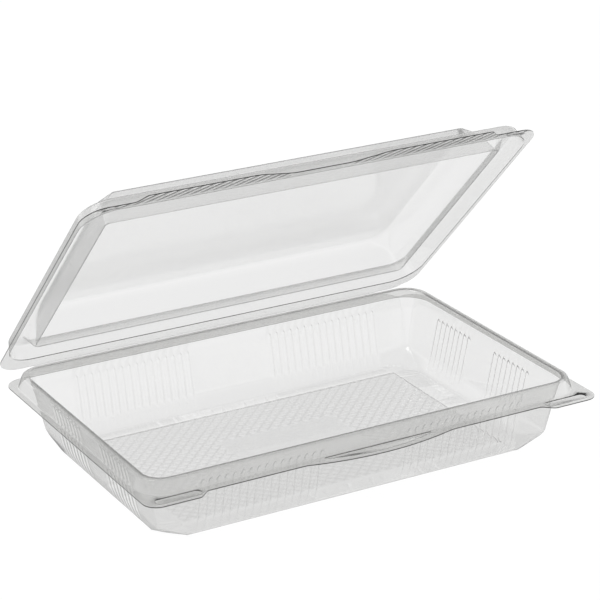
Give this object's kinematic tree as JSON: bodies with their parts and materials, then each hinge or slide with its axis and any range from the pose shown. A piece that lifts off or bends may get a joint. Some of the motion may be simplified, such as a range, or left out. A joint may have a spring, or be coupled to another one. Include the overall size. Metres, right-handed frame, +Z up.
{
  "type": "hinged clear food pack",
  "caption": "Clear thermoformed clamshell: a fluted tray with an embossed floor and a shallow lid that folds over it on a hinge line along the back.",
  "frame": {"origin": "middle of the tray's underside, on the surface it stands on", "axes": "+X along the hinge, which is the pack's long side, +Y from the front opening edge to the hinge at the back, +Z up"},
  "size_m": [0.2344, 0.1706, 0.1512],
  "materials": {
    "tray_sheet": "clear gloss thermoformed sheet",
    "lid_sheet": "clear gloss thermoformed sheet"
  },
  "bodies": {
    "tray": {"tray": "tray_sheet"},
    "lid": {"lid": "lid_sheet"}
  },
  "joints": [
    {"name": "lid_hinge", "type": "hinge", "parent": "tray", "child": "lid", "pos_m": [0, 0.0855, 0.0305], "axis": [-1, 0, 0], "range_deg": [-45.2, 134.8]}
  ]
}
